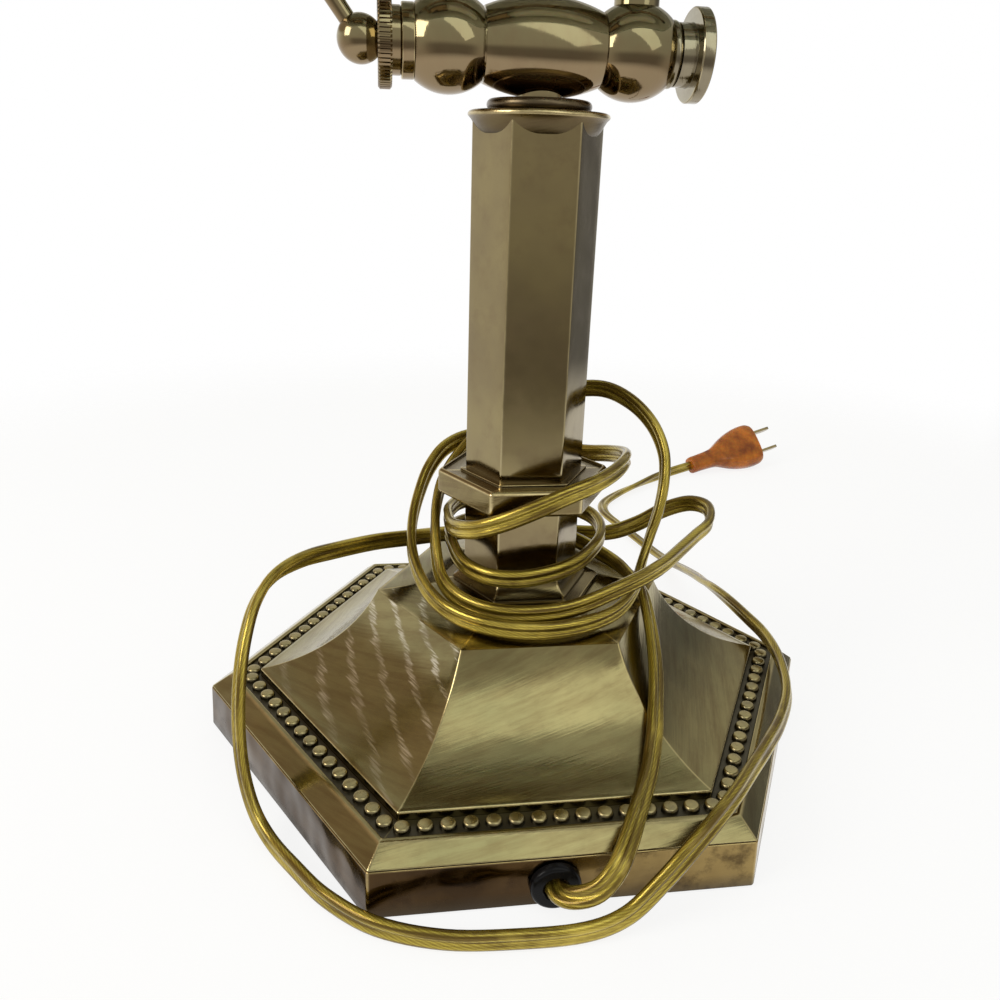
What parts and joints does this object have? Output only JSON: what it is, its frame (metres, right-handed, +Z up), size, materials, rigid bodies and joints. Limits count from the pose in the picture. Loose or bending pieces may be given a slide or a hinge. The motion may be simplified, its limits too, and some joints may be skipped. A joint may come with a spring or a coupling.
{
  "type": "bankers desk lamp",
  "caption": "Brass bankers desk lamp: beaded hexagonal base and column, tilting fork with a clamp lever, green glass shade on a crossbar, flat twin cord wound round the neck.",
  "frame": {"origin": "middle of the underside of the base, on the table", "axes": "+Z up along the column, +X along the pivot and the crossbar towards the plain end of the bolt, -Y towards the cord outlet, which is the front"},
  "size_m": [0.3437, 0.3668, 0.3565],
  "materials": {
    "polished_brass": "antique brass, polished to satin, with worn bright edges",
    "aged_brass": "darkened brass",
    "bead_brass": "bright beads on a dark strip",
    "felt": "pressed felt",
    "steel": "plain zinc-plated steel",
    "iron": "raw casting",
    "black_rubber": "glossy black",
    "fibre": "pressed fibre",
    "porcelain": "glazed insulator",
    "bulb_glass": "frosted",
    "black_plastic": "moulded, glossy",
    "green_glass": "cased glass, glossy outside",
    "cord": "translucent gold insulation over copper strands",
    "amber_plastic": "translucent amber moulding",
    "blade_brass": "plain brass"
  },
  "bodies": {
    "stand": {"felt_pad": "felt", "bottom_plate": "steel", "base_weight": "iron", "base_band": "polished_brass", "base_cover": "polished_brass", "bead_border": "bead_brass", "cord_grommet": "black_rubber", "column_foot": "aged_brass", "column_tube": "polished_brass", "column_collar": "polished_brass", "column_cap": "polished_brass", "check_ring": "aged_brass", "lamp_pipe": "steel", "pipe_washer": "steel", "pipe_lock_nut": "steel", "pivot_barrel": "polished_brass", "pivot_bolt": "polished_brass", "friction_washers": "fibre", "pressure_ring": "polished_brass", "inner_lead": "cord", "cord_lead": "cord", "cord_winding": "cord", "cord_tail": "cord", "plug_body": "amber_plastic", "plug_blades": "blade_brass"},
    "clamp_lever": {"knurled_nut": "polished_brass", "lever_hub": "polished_brass", "lever_arm": "polished_brass", "lever_knob": "polished_brass"},
    "fork": {"fork_ball_left": "polished_brass", "fork_ball_right": "polished_brass", "fork_post_left": "polished_brass", "fork_post_right": "polished_brass", "fork_tee_left": "polished_brass", "fork_tee_right": "polished_brass", "crossbar": "polished_brass", "holder_bracket": "polished_brass", "holder_cap": "polished_brass", "holder_shell": "polished_brass", "holder_liner": "porcelain", "bulb_base": "steel", "bulb_glass": "bulb_glass"},
    "shade": {"glass_shade": "green_glass", "shade_washers": "fibre", "finial_left": "polished_brass", "finial_right": "polished_brass"},
    "switch": {"switch_key": "black_plastic"}
  },
  "joints": [
    {"name": "fork_tilt", "type": "hinge", "parent": "stand", "child": "fork", "pos_m": [0, 0, 0.2044], "axis": [1, 0, 0], "range_deg": [-40, 40]},
    {"name": "clamp_turn", "type": "hinge", "parent": "stand", "child": "clamp_lever", "pos_m": [-0.043, 0, 0.2044], "axis": [1, 0, 0], "range_deg": [0, 110]},
    {"name": "shade_tilt", "type": "hinge", "parent": "fork", "child": "shade", "pos_m": [0, 0, 0.3024], "axis": [1, 0, 0], "range_deg": [-20, 20]},
    {"name": "switch_turn", "type": "hinge", "parent": "fork", "child": "switch", "pos_m": [-0.0575, -0.034, 0.27], "axis": [0, 0, 1], "continuous": true}
  ]
}
